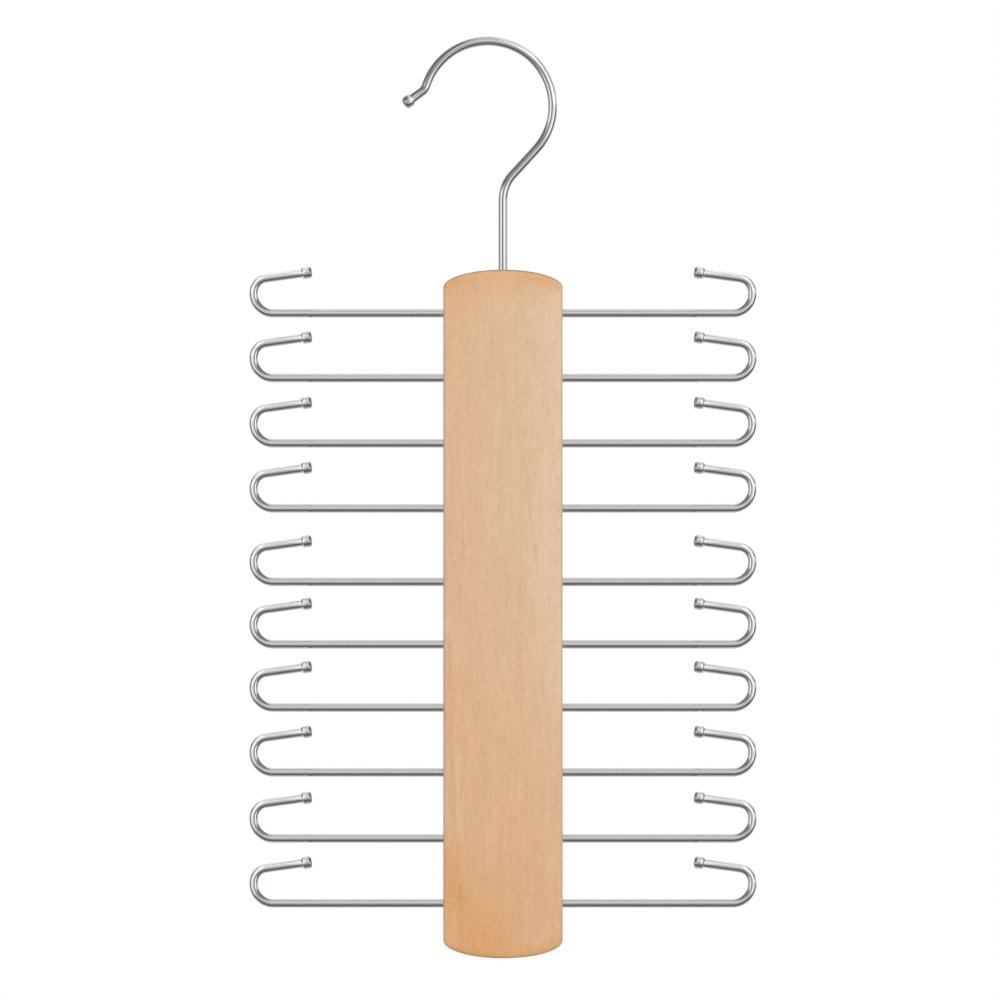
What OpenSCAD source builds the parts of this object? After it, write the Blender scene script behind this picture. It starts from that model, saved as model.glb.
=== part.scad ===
// Tie hanger: a crowned wood block on a swivelling wire hook, with rows of bent wire tie hooks.
// The front faces -Y and +Z is up. The origin is the bearing point: where the swivel axis meets
// the underside of the hook's ring, so that a rod that carries the hanger touches it there.

/* [Wood block] */
// Length of the block, top to bottom
block_len = 271.4; // [256:0.1:340]
// Width of the block
block_w = 47; // [44:0.1:60]
// Thickness of the block, front to back
block_t = 15; // [13:0.5:20]
// Radius of the arc that crowns each end
crown_r = 60.6; // [45:0.1:100]
// Radius of the four corners in the front view
corner_r = 5.8; // [4:0.1:9]
// Radius of the eased front and back edges
edge_r = 1.8; // [1:0.1:3.5]

/* [Rows] */
// Rows of tie hooks, one hook on each side in a row
row_count = 10; // [2:1:10]
// Top of the block to the first row
top_margin = 17.2; // [15:0.1:30]
// Last row to the bottom of the block
bottom_margin = 21.6; // [15:0.1:30]
// How far each row sits above its even place, top row first, as drilled by eye
row_shift = [0, 0.3, 0.4, 0.6, -2.5, -1.3, -0.4, -0.1, -0.3, 0];

/* [Tie hooks] */
// Diameter of the tie hooks' wire
bar_wire_d = 3.4; // [2.8:0.1:4]
// Centre of the block to the outside of a tie hook's bend
reach = 100; // [80:0.5:120]
// Length of the plain end that is pressed into the block
pin_depth = 16; // [10:0.5:16.5]
// Room left at the bottom of a tie hook's hole
pin_end_room = 0.5; // [0.3:0.1:1]
// Bevel on the cut end of each pressed-in wire
cut_bevel = 0.4; // [0.2:0.1:0.6]
// Centreline radius of the lower bend, next to the bar
lower_bend_r = 7.7; // [6:0.05:9]
// Centreline radius of the upper bend, next to the lip
upper_bend_r = 5.75; // [5:0.05:7]
// Rise of the lip towards the block, in degrees
lip_rise = 7; // [2:0.5:10]
// Length of the lip's straight wire, without its knob
lip_len = 13.8; // [10:0.1:18]
// Diameter of the knob on the lip
knob_d = 4.6; // [4.2:0.1:5.4]
// Length of the knob with its taper
knob_len = 4.3; // [3.6:0.1:5]
// Length of the taper from the wire to the knob
knob_taper = 1.2; // [0.6:0.1:1.6]
// Radius that rounds the knob's end
knob_round = 1; // [0.4:0.1:1]

/* [Swivel hook] */
// Diameter of the swivel hook's wire
hook_wire_d = 3.6; // [3:0.1:4.2]
// Top of the block to the start of the shank's bend
shank_rise = 27.6; // [20:0.1:40]
// Centreline radius of the shank's bend
shank_bend_r = 14.2; // [10:0.1:18]
// Lean of the neck from upright, in degrees
neck_lean = 42.5; // [40:0.5:48]
// Centreline radius of the ring
ring_r = 25.6; // [23:0.1:30]
// Swivel axis to the centre of the ring
ring_offset = 6; // [3:0.1:9]
// Angle at which the ring ends, counted from its right-hand side, in degrees
ring_end = 161; // [150:0.5:170]
// Centreline radius of the small bend before the tip
tip_bend_r = 5; // [4:0.1:7]
// Turn of the small bend before the tip, in degrees
tip_turn = 35; // [25:0.5:45]
// Length of the tip's straight wire, without its knob
tip_len = 4.2; // [3:0.1:8]
// Diameter of the knob on the tip
tip_knob_d = 4.8; // [4.5:0.1:5.6]
// Length of the tip's knob with its taper
tip_knob_len = 3.8; // [3.4:0.1:5]

/* [Swivel seat] */
// Outside diameter of the sleeve, and of the hole that it is pressed into
sleeve_d = 7; // [6.4:0.1:8]
// Length of the sleeve
sleeve_len = 16; // [10:0.5:20]
// Depth of the sleeve's rim below the top of the block
sleeve_recess = 0.4; // [0.2:0.1:1]
// Running clearance between the shank and the sleeve, on the radius
shank_clearance = 0.06; // [0.02:0.01:0.1]
// Bevel on the sleeve's ends
sleeve_bevel = 0.4; // [0.2:0.1:0.6]
// Diameter of the stop head that carries the block
stop_d = 5.8; // [5:0.1:6]
// Length of the stop head with its taper
stop_len = 2.6; // [2.2:0.1:4]
// Length of the taper from the shank to the stop head
stop_taper = 0.5; // [0.3:0.1:1]
// Radius that rounds the stop head's end
stop_round = 0.6; // [0.3:0.1:1]
// Gap between the stop head and the sleeve
stop_gap = 0.3; // [0.2:0.05:0.5]
// Room left under the stop head
stop_end_room = 1; // [0.5:0.1:2]

/* [Hidden] */
$fn = 64;
// Half the point angle of the drills that make the holes
drill_half_angle = 59;
// Length that a cutter runs past the face that it opens
past = 4;
// Straight wire that a bender leaves between two bends
between_bends = 0.4;
// A bend is this much thicker than the straight wire, on the radius, and the straight wire runs this
// far into it
bend_swell = 0.01;
bend_lap = 0.2;
// Sides of a full circle in the block's crowns, corners and eased edges
crown_fineness = 120;
corner_fineness = 40;
edge_fineness = 32;

SIDES = ["left", "right"];

// Heights, from the bearing point down
ring_z = -sqrt(pow(ring_r - hook_wire_d / 2, 2) - pow(ring_offset, 2));
neck_len = (ring_r * cos(neck_lean) - ring_offset - shank_bend_r * (1 - cos(neck_lean))) / sin(neck_lean);
shank_bend_z = ring_z - (ring_r + shank_bend_r) * sin(neck_lean) - neck_len * cos(neck_lean);
block_top = shank_bend_z - shank_rise;
block_bottom = block_top - block_len;
row_pitch = (block_len - top_margin - bottom_margin) / (row_count - 1);

// The crown's arc and the corner's arc touch where both point this far from upright
corner_x = block_w / 2 - corner_r;
crown_half_angle = asin(corner_x / (crown_r - corner_r));
corner_depth = crown_r - (crown_r - corner_r) * cos(crown_half_angle);

// The stop head hangs under the sleeve, inside the same hole
stop_depth = sleeve_recess + sleeve_len + stop_gap;
shank_hole_depth = stop_depth + stop_len + stop_end_room;

function tie_hook_name(side, row) = str("tie_hook_", side, row < 9 ? "_0" : "_", row + 1);
function row_z(row) = block_top - top_margin - row * row_pitch + row_shift[row];

// Wire that runs up from the origin. Each step is [straight length, bend radius, turn], and a
// positive turn bends the wire towards +X. What is given as children sits on the wire's end.
module bent_wire(wire_d, steps, at = 0) {
  if (at < len(steps)) {
    straight = steps[at][0];
    bend_r = steps[at][1];
    turn = steps[at][2];
    hand = sign(turn);
    start_lap = at > 0 ? bend_lap : 0;
    translate([0, 0, -start_lap])
      cylinder(d = wire_d, h = start_lap + straight + bend_lap);
    translate([0, 0, straight])
      mirror([hand < 0 ? 1 : 0, 0, 0])
        translate([bend_r, 0, 0])
          rotate([90, 0, 0])
            rotate(180 - abs(turn))
              rotate_extrude(angle = abs(turn))
                translate([bend_r, 0])
                  circle(r = wire_d / 2 + bend_swell);
    translate([hand * bend_r * (1 - cos(turn)), 0, straight + bend_r * sin(abs(turn))])
      rotate([0, turn, 0])
        bent_wire(wire_d, steps, at + 1)
          children();
  } else {
    translate([0, 0, -bend_lap])
      cylinder(d = wire_d, h = bend_lap);
    children();
  }
}

// Knob that is upset on the end of a wire
module knob(wire_d, head_d, head_len, taper, round_r) {
  head_r = head_d / 2;
  rotate_extrude() {
    polygon([
      [0, 0],
      [wire_d / 2, 0],
      [head_r, taper],
      [head_r, head_len - round_r],
      [0, head_len - round_r]
    ]);
    square([head_r - round_r, head_len]);
    translate([head_r - round_r, head_len - round_r])
      circle(r = round_r);
  }
}

// Last straight run of a wire, with its knob
module knobbed_end(wire_d, straight, head_d, head_len, taper, round_r) {
  cylinder(d = wire_d, h = straight);
  translate([0, 0, straight])
    knob(wire_d, head_d, head_len, taper, round_r);
}

// Hole drilled down from the origin, with the cone that a drill leaves
module drilled_hole(hole_d, depth) {
  translate([0, 0, -depth])
    cylinder(d = hole_d, h = depth + past);
  translate([0, 0, -depth])
    mirror([0, 0, 1])
      cylinder(d1 = hole_d, d2 = 0, h = hole_d / 2 / tan(drill_half_angle));
}

// Sector of a disc that stands in the front view, with the block's thickness and eased edges.
// Its angles are counted from +X towards +Z.
module eased_sector(rim_r, from_angle, to_angle, fineness) {
  rotate([90, 0, 0])
    rotate(from_angle)
      rotate_extrude(angle = to_angle - from_angle, $fn = fineness) {
        translate([0, edge_r - block_t / 2])
          square([rim_r, block_t - 2 * edge_r]);
        for (front = [-1, 1])
          translate([rim_r - edge_r, front * (block_t / 2 - edge_r)])
            circle(r = edge_r, $fn = edge_fineness);
      }
}

// Blank of the block before it is drilled: two crowned ends and what lies between them
module block_blank() {
  hull()
    for (end = [0, 1])
      translate([0, 0, end == 0 ? block_top : block_bottom])
        mirror([0, 0, end]) {
          translate([0, 0, -crown_r])
            eased_sector(crown_r, 90 - crown_half_angle, 90 + crown_half_angle, crown_fineness);
          for (hand = [0, 1])
            mirror([hand, 0, 0])
              translate([corner_x, 0, -corner_depth])
                eased_sector(corner_r, 0, 90 - crown_half_angle, corner_fineness);
        }
}

module wood_block() {
  color("burlywood")
    difference() {
      block_blank();
      translate([0, 0, block_top])
        drilled_hole(sleeve_d, shank_hole_depth);
      for (row = [0 : row_count - 1], hand = [-1, 1])
        translate([hand * block_w / 2, 0, row_z(row)])
          rotate([0, hand * 90, 0])
            drilled_hole(bar_wire_d, pin_depth + pin_end_room);
    }
}

module hook_sleeve() {
  outer_r = sleeve_d / 2;
  bore_r = hook_wire_d / 2 + shank_clearance;
  color("silver")
    translate([0, 0, block_top - sleeve_recess - sleeve_len])
      rotate_extrude()
        polygon([
          [bore_r, 0],
          [outer_r - sleeve_bevel, 0],
          [outer_r, sleeve_bevel],
          [outer_r, sleeve_len - sleeve_bevel],
          [outer_r - sleeve_bevel, sleeve_len],
          [bore_r, sleeve_len]
        ]);
}

// The hook is bent upwards from the shank: neck, ring, small bend and tip
module swivel_hook() {
  steps = [
    [stop_depth + shank_rise, shank_bend_r, neck_lean],
    [neck_len, ring_r, -(neck_lean + ring_end)],
    [between_bends, tip_bend_r, tip_turn]
  ];
  color("lightgray")
    translate([0, 0, block_top - stop_depth]) {
      bent_wire(hook_wire_d, steps)
        knobbed_end(hook_wire_d, tip_len, tip_knob_d, tip_knob_len, knob_taper, knob_round);
      mirror([0, 0, 1])
        knob(hook_wire_d, stop_d, stop_len, stop_taper, stop_round);
    }
}

// One tie hook, bent from its pressed-in end outwards; the lip ends over the bar
module tie_hook(side, row) {
  bar_len = reach - block_w / 2 + pin_depth - cut_bevel - bar_wire_d / 2 - lower_bend_r;
  steps = [
    [bar_len, lower_bend_r, 90],
    [between_bends, upper_bend_r, 90 - lip_rise]
  ];
  color("lightgray")
    mirror([side == "left" ? 0 : 1, 0, 0])
      translate([pin_depth - block_w / 2, 0, row_z(row)])
        rotate([0, -90, 0]) {
          cylinder(d1 = bar_wire_d - 2 * cut_bevel, d2 = bar_wire_d, h = cut_bevel);
          translate([0, 0, cut_bevel])
            bent_wire(bar_wire_d, steps)
              knobbed_end(bar_wire_d, lip_len, knob_d, knob_len, knob_taper, knob_round);
        }
}

wood_block();
hook_sleeve();
swivel_hook();
for (side = SIDES, row = [0 : row_count - 1])
  tie_hook(side, row);
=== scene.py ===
"""Looks of the tie hanger: a crowned wood block, its swivelling hook and twenty bent wire hooks."""
import logging
import math
from dataclasses import dataclass, field
from enum import Enum
from typing import Iterable, Sequence, Union

import bmesh
import bpy
from mathutils import Matrix, Vector


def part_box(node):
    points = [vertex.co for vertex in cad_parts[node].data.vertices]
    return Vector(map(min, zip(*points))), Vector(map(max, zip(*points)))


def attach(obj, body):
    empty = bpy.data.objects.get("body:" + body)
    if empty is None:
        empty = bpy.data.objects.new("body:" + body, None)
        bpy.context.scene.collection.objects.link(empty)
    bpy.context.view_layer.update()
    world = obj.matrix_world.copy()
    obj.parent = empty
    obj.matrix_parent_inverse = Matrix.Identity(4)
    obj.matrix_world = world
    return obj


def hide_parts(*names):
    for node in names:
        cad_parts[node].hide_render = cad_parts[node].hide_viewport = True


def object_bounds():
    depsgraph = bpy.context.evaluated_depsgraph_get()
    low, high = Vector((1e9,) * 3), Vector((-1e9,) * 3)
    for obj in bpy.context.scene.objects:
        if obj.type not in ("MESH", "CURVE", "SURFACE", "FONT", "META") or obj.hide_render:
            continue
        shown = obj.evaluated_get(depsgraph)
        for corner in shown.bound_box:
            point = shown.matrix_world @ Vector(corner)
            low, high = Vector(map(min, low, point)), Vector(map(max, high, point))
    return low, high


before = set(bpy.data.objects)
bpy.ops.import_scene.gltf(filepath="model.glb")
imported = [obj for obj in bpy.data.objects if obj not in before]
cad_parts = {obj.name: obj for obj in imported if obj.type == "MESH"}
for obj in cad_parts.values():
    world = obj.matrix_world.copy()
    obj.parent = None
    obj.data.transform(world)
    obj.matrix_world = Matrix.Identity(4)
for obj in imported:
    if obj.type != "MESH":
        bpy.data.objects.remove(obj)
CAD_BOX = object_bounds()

LOG = logging.getLogger("tie_hanger")
MM = 0.001
WHITE = (1.0, 1.0, 1.0, 1.0)

Socket = bpy.types.NodeSocket
Feed = Union[Socket, float, Sequence[float]]
Tone = tuple[float, ...]
Span = tuple[float, float]
Wires = list[bpy.types.Object]


class Side(Enum):
    """Side of the block that a tie hook stands on, seen from the front."""

    LEFT = "left"
    RIGHT = "right"

    @property
    def hand(self) -> int:
        """Sign of x on this side."""
        return -1 if self is Side.LEFT else 1


class Body(str, Enum):
    """The two bodies that the swivel joins."""

    HOOK = "hook"
    RACK = "rack"


def from_srgb(red: float, green: float, blue: float) -> Tone:
    """Linear colour for a shader socket.

    Args:
        red: Red as it shows on a screen, from 0 to 255.
        green: Green, likewise.
        blue: Blue, likewise.

    Returns:
        Red, green, blue and an alpha of 1.
    """

    def linear(level: float) -> float:
        """One channel, from screen level to light."""
        share = level / 255
        return share / 12.92 if share <= 0.04045 else ((share + 0.055) / 1.055) ** 2.4

    return (linear(red), linear(green), linear(blue), 1.0)


# Shader graphs


@dataclass(frozen=True)
class Layer:
    """A layer of soft noise.

    It has waves per metre along x, y and z, a number of finer layers in it, how strong these are, and the
    strength with which it moves what it is added to.
    """

    waves: tuple[float, float, float]
    detail: float = 2.0
    rough: float = 0.5
    strength: float = 1.0


class Graph:
    """Places and joins the nodes of one tree, so that a finish reads as a list of steps."""

    def __init__(self, tree: bpy.types.NodeTree) -> None:
        """Takes over an empty tree."""
        self.tree = tree
        tree.nodes.clear()

    def feed(self, socket: Socket, value: Feed) -> None:
        """Joins a socket to another one, or sets its value."""
        if isinstance(value, bpy.types.NodeSocket):
            self.tree.links.new(value, socket)
        else:
            socket.default_value = value

    def fill(self, node: bpy.types.Node, inputs: dict[Union[str, int], Feed]) -> None:
        """Gives several inputs of a node what they get, by name or number."""
        for key, value in inputs.items():
            self.feed(node.inputs[key], value)

    def put(self, kind: str, inputs: dict[Union[str, int], Feed] | None = None,
            **settings: object) -> bpy.types.Node:
        """Places one node.

        Args:
            kind: Blender's name of the node's type.
            inputs: What each input gets, by its name or its number.
            settings: Properties of the node itself.

        Returns:
            The node.
        """
        node = self.tree.nodes.new(kind)
        for name, value in settings.items():
            setattr(node, name, value)
        self.fill(node, inputs or {})
        return node

    def math(self, operation: str, *values: Feed, clamp: bool = False) -> Socket:
        """Arithmetic on one, two or three numbers."""
        inputs = dict(enumerate(values))
        return self.put("ShaderNodeMath", inputs, operation=operation, use_clamp=clamp).outputs[0]

    def product(self, *values: Feed) -> Feed:
        """All the numbers, multiplied."""
        result = values[0]
        for value in values[1:]:
            result = self.math("MULTIPLY", result, value)
        return result

    def added(self, base: Feed, value: Feed, size: Feed) -> Socket:
        """A number with a multiple of another one on top."""
        return self.math("MULTIPLY_ADD", value, size, base)

    def swung(self, base: Feed, value: Feed, size: Feed) -> Socket:
        """A number that another one moves up where it lies above a half, and down where it lies below."""
        return self.added(base, self.math("SUBTRACT", value, 0.5), size)

    def vector(self, operation: str, *values: Feed) -> Socket:
        """Arithmetic on vectors."""
        return self.put("ShaderNodeVectorMath", dict(enumerate(values)), operation=operation).outputs[0]

    def length(self, value: Feed) -> Socket:
        """Length of a vector."""
        return self.put("ShaderNodeVectorMath", {0: value}, operation="LENGTH").outputs["Value"]

    def parts(self, value: Feed) -> list[Socket]:
        """The x, y and z of a vector."""
        return list(self.put("ShaderNodeSeparateXYZ", {0: value}).outputs)

    def joined(self, x: Feed, y: Feed, z: Feed) -> Socket:
        """A vector of three numbers."""
        return self.put("ShaderNodeCombineXYZ", {0: x, 1: y, 2: z}).outputs[0]

    def noise(self, place: Feed, layer: Layer) -> Socket:
        """Soft noise, from 0 to 1."""
        scaled = self.vector("MULTIPLY", place, layer.waves)
        inputs = {"Vector": scaled, "Scale": 1.0, "Detail": layer.detail, "Roughness": layer.rough}
        return self.put("ShaderNodeTexNoise", inputs).outputs[0]

    def stirred(self, base: Feed, place: Feed, layer: Layer) -> Socket:
        """A number that a layer of noise moves up and down by its own strength."""
        return self.swung(base, self.noise(place, layer), layer.strength)

    def step(self, value: Feed, low: Feed, high: Feed, bottom: Feed = 0.0, top: Feed = 1.0) -> Socket:
        """Smooth step of a value.

        Args:
            value: What is looked at.
            low: Value at which the step starts.
            high: Value at which it ends.
            bottom: Result before the step.
            top: Result after it.

        Returns:
            The stepped value.
        """
        inputs = {"Value": value, "From Min": low, "From Max": high, "To Min": bottom, "To Max": top}
        return self.put("ShaderNodeMapRange", inputs, interpolation_type="SMOOTHSTEP").outputs[0]

    def mix(self, share: Feed, first: Feed, second: Feed, blend: str = "MIX") -> Socket:
        """Blend of two colours."""
        node = self.put("ShaderNodeMix", {0: share, 6: first, 7: second}, data_type="RGBA", blend_type=blend)
        return node.outputs[2]

    def colour(self, red: Feed, green: Feed, blue: Feed) -> Socket:
        """A colour of three numbers."""
        return self.put("ShaderNodeCombineColor", {0: red, 1: green, 2: blue}).outputs[0]

    def bump(self, height: Feed, depth: float, strength: float) -> Socket:
        """Normal of a surface with a fine relief."""
        inputs = {"Height": height, "Distance": depth, "Strength": strength}
        return self.put("ShaderNodeBump", inputs).outputs[0]

    def attribute(self, name: str, output: str = "Fac") -> Socket:
        """A value that the mesh carries."""
        return self.put("ShaderNodeAttribute", attribute_name=name).outputs[output]


class Effect:
    """A surface effect that several finishes share, built once as a node group."""

    name = ""
    takes: tuple[tuple[str, str, float], ...] = ()
    gives: tuple[tuple[str, str], ...] = ()
    _built: dict[str, bpy.types.NodeTree] = {}

    def steps(self, graph: Graph, given: dict[str, Socket]) -> dict[str, Socket]:
        """Nodes of the effect.

        Args:
            graph: The group's graph.
            given: The group's inputs, by name.

        Returns:
            What each output gets, by name.
        """
        raise NotImplementedError

    def tree(self) -> bpy.types.NodeTree:
        """The node group, which the first finish that needs it builds."""
        if self.name not in self._built:
            tree = bpy.data.node_groups.new(self.name, "ShaderNodeTree")
            for label, kind, default in self.takes:
                socket = tree.interface.new_socket(name=label, in_out="INPUT", socket_type=kind)
                if kind == "NodeSocketFloat":
                    socket.default_value = default
            for label, kind in self.gives:
                tree.interface.new_socket(name=label, in_out="OUTPUT", socket_type=kind)
            graph = Graph(tree)
            start = graph.put("NodeGroupInput")
            end = graph.put("NodeGroupOutput")
            graph.fill(end, self.steps(graph, {label: start.outputs[label] for label, _, _ in self.takes}))
            self._built[self.name] = tree
        return self._built[self.name]

    def place(self, graph: Graph, **values: Feed) -> bpy.types.NodeOutputs:
        """Puts the effect in a finish.

        Args:
            graph: The finish's graph.
            values: What each input gets, by its name in lower case.

        Returns:
            The group node's outputs.
        """
        node = graph.put("ShaderNodeGroup", node_tree=self.tree())
        graph.fill(node, {label.capitalize(): value for label, value in values.items()})
        return node.outputs


class Streaks(Effect):
    """Fine lines that run along one direction, such as fibres or the marks of a drawing die."""

    name = "streaks"
    takes = (
        ("Place", "NodeSocketVector", 0.0),
        ("Across", "NodeSocketFloat", 1000.0),
        ("Along", "NodeSocketFloat", 40.0),
        ("Sharpness", "NodeSocketFloat", 0.3),
    )
    gives = (("Lines", "NodeSocketFloat"), ("Height", "NodeSocketFloat"))
    finer = 2.7
    finer_share = 0.4

    def steps(self, graph: Graph, given: dict[str, Socket]) -> dict[str, Socket]:
        """Two layers of stretched noise, the finer one weaker."""
        layers = []
        for times in (1.0, self.finer):
            across = graph.product(given["Across"], times)
            stretch = graph.joined(across, across, graph.product(given["Along"], times))
            place = graph.vector("MULTIPLY", given["Place"], stretch)
            noise = graph.put("ShaderNodeTexNoise", {"Vector": place, "Scale": 1.0, "Detail": 1.0})
            layers.append(noise.outputs[0])
        both = graph.added(graph.product(layers[0], 1 - self.finer_share), layers[1], self.finer_share)
        low = graph.product(given["Sharpness"], 0.5)
        return {"Lines": graph.step(both, low, graph.math("SUBTRACT", 1.0, low)), "Height": both}


class Handling(Effect):
    """Faint, cloudy patches where hands and dust have dulled or polished a surface."""

    name = "handling"
    takes = (
        ("Place", "NodeSocketVector", 0.0),
        ("Patches", "NodeSocketFloat", 60.0),
        ("Level", "NodeSocketFloat", 0.3),
        ("Spread", "NodeSocketFloat", 0.1),
    )
    gives = (("Roughness", "NodeSocketFloat"), ("Patches", "NodeSocketFloat"))
    grit = 0.62
    edges = (0.3, 0.7)

    def steps(self, graph: Graph, given: dict[str, Socket]) -> dict[str, Socket]:
        """Wide patches with fine grit in them, around the given level."""
        inputs = {"Vector": given["Place"], "Scale": given["Patches"], "Detail": 5.0, "Roughness": self.grit}
        patches = graph.step(graph.put("ShaderNodeTexNoise", inputs).outputs[0], *self.edges)
        swing = graph.product(graph.math("SUBTRACT", patches, 0.5), given["Spread"])
        return {"Roughness": graph.math("ADD", given["Level"], swing, clamp=True), "Patches": patches}


STREAKS = Streaks()
HANDLING = Handling()


# Finishes


def new_material(name: str) -> tuple[bpy.types.Material, Graph, bpy.types.Node]:
    """An empty finish.

    Args:
        name: The material's name.

    Returns:
        The material, its graph and its shader.
    """
    material = bpy.data.materials.new(name)
    material.use_nodes = True
    graph = Graph(material.node_tree)
    shader = graph.put("ShaderNodeBsdfPrincipled")
    graph.put("ShaderNodeOutputMaterial", {"Surface": shader.outputs[0]})
    return material, graph, shader


@dataclass(frozen=True)
class Speck:
    """A small dark pin knot in the front face, by its place and size in metres."""

    x: float
    z: float
    radius: float
    strength: float


@dataclass(frozen=True)
class Vein:
    """A single long line in the front face's grain, from its upper end to its lower end, in metres."""

    top: Span
    bottom: Span
    width: float
    strength: float
    colour: Tone


@dataclass(frozen=True)
class Zone:
    """A broad zone of the plank with soft edges.

    Each edge says where the zone starts and where it is full, in metres across the plank or up it.
    """

    share: float
    across: tuple[Span, ...] = ()
    up: tuple[Span, ...] = ()

    def cover(self, graph: Graph, x: Socket, z: Socket) -> Feed:
        """How far a place lies in the zone, from 0 to 1."""
        return graph.product(*[graph.step(value, start, full)
                               for value, edges in ((x, self.across), (z, self.up)) for start, full in edges])


@dataclass(frozen=True)
class PaleHardwood:
    """Pale, fine-grained hardwood under a satin clear coat."""

    name: str = "pale_hardwood"
    heart: Tone = from_srgb(227, 186, 149)
    rose: Tone = from_srgb(226, 182, 146)
    cream: Tone = from_srgb(225, 189, 151)
    honey: Tone = from_srgb(223, 165, 106)
    sap: Tone = from_srgb(229, 196, 166)
    # Painted shade for the eased edges
    edge_shade: Tone = from_srgb(158, 136, 110)
    pore: Tone = from_srgb(184, 132, 88)
    knot: Tone = from_srgb(104, 62, 34)
    end_tint: Tone = from_srgb(232, 214, 196)
    # Colour zones, the noise that moves their edges, and two slow drifts of the hue
    rose_zone: Zone = Zone(0.8, across=((0.001, -0.009),), up=((-0.33, -0.24),))
    cream_zone: Zone = Zone(0.9, across=((-0.014, -0.004), (0.016, 0.008)),
                            up=((-0.235, -0.185), (-0.096, -0.108)))
    sap_zone: Zone = Zone(0.85, across=((0.006, 0.019),), up=((-0.37, -0.2),))
    honey_zones: tuple[Zone, ...] = (
        Zone(0.25, up=((-0.225, -0.295),)),
        Zone(0.33, across=((0.012, -0.004),), up=((-0.302, -0.342),)),
        Zone(0.26, across=((-0.017, -0.009), (0.01, 0.002)), up=((-0.333, -0.35),)),
        Zone(0.05, up=((-0.305, -0.345),)),
        Zone(0.3, across=((-0.0175, -0.0225),), up=((-0.236, -0.25), (-0.276, -0.266))),
        Zone(0.3, across=((-0.014, -0.0215),), up=((-0.305, -0.322), (-0.348, -0.337))),
        Zone(0.16, across=((-0.0185, -0.0225),), up=((-0.19, -0.198), (-0.225, -0.212))),
        Zone(0.26, up=((-0.108, -0.094),)),
        Zone(0.2, across=((-0.008, -0.02),), up=((-0.13, -0.108),)),
    )
    drift: Layer = Layer((34, 34, 12), 3, strength=13 * MM)
    drift_along: float = 3.0
    hue: Layer = Layer((85, 85, 30), 3, 0.65, 0.1)
    hue_red: float = -0.3
    straw: Layer = Layer((130, 130, 34), 2, strength=0.1)
    # A band of honey tone just inside the crowned ends, along an arc close to the crown's
    crown_r: float = 60.6 * MM
    rim_least: float = 1.5 * MM
    rim_full: float = 1.0 * MM
    rim_share: float = 0.62
    rim_noise: Layer = Layer((330, 330, 200), 3, 0.6, 9 * MM)
    rim_above: float = 20 * MM
    rim_outward: Span = (2 * MM, 15 * MM)
    rim_middle: float = 0.4
    # Grain: layers of the shade, pores, and the relief
    curl: Layer = Layer((18, 18, 9), 3, strength=14 * MM)
    rings: Layer = Layer((230, 70, 17), 3, 0.55, 0.1)
    bands: Layer = Layer((620, 260, 46), 3, 0.6, 0.15)
    mottle: Layer = Layer((900, 900, 520), 3, 0.7, 0.22)
    clouds: Layer = Layer((270, 270, 130), 3, 0.6, 0.13)
    dashes: Layer = Layer((1500, 1500, 380), 1)
    clusters: Layer = Layer((150, 150, 45), 2)
    curl_back: float = 0.6
    dash_edges: Span = (0.6, 0.78)
    cluster_edges: Span = (0.42, 0.66)
    cluster_least: float = 0.1
    fibre_shade: float = 0.02
    fibre_height: float = 0.5
    warmth: tuple[float, float, float] = (1.0, 1.3, 1.9)
    pore_share: float = 0.22
    pore_depth: float = -0.35
    pore_roughness: float = 0.12
    relief: float = 0.03 * MM
    relief_strength: float = 0.5
    # End grain tint and painted shade on the eased edges, by where the surface faces, and the satin coat
    end_edges: Span = (0.45, 0.9)
    edge_shade_edges: tuple[Span, Span] = ((0.02, 0.12), (0.8, 0.4))
    left_and_top_shade_edges: Span = (0.2, 0.8)
    edge_shade_share: float = 0.42
    left_and_top_shade_share: float = 0.3
    coat: float = 0.1
    coat_patches: float = 0.05
    # Single marks, which only the front face has
    front_y: float = -6 * MM
    knot_stretch: float = 0.7
    knot_core: float = 0.2
    waver: Layer = Layer((30, 30, 60), 2, strength=3 * MM)
    breaks: Layer = Layer((300, 300, 90), 2)
    break_edges: Span = (0.3, 0.6)
    break_least: float = 0.3
    vein_fade: float = 0.25
    specks: tuple[Speck, ...] = (
        Speck(-0.0169, -0.3312, 0.00042, 0.42),
        Speck(0.0023, -0.2098, 0.0004, 0.35),
        Speck(-0.0209, -0.3255, 0.0004, 0.3),
        Speck(-0.0214, -0.3345, 0.0004, 0.35),
    )
    veins: tuple[Vein, ...] = (
        Vein((-0.0219, -0.219), (-0.0183, -0.317), 0.0012, 0.2, from_srgb(192, 134, 82)),
        Vein((-0.0188, -0.258), (-0.0166, -0.318), 0.002, 0.28, from_srgb(232, 203, 166)),
        Vein((-0.0168, -0.236), (-0.0140, -0.322), 0.0011, 0.16, from_srgb(196, 144, 96)),
        Vein((-0.0164, -0.326), (-0.0158, -0.360), 0.0014, 0.22, from_srgb(200, 138, 84)),
        Vein((0.0148, -0.150), (0.0182, -0.228), 0.0022, 0.24, from_srgb(234, 208, 184)),
        Vein((0.0078, -0.160), (0.0142, -0.212), 0.0013, 0.14, from_srgb(196, 150, 112)),
        Vein((-0.0150, -0.170), (-0.0176, -0.236), 0.0012, 0.14, from_srgb(196, 142, 100)),
    )

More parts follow.
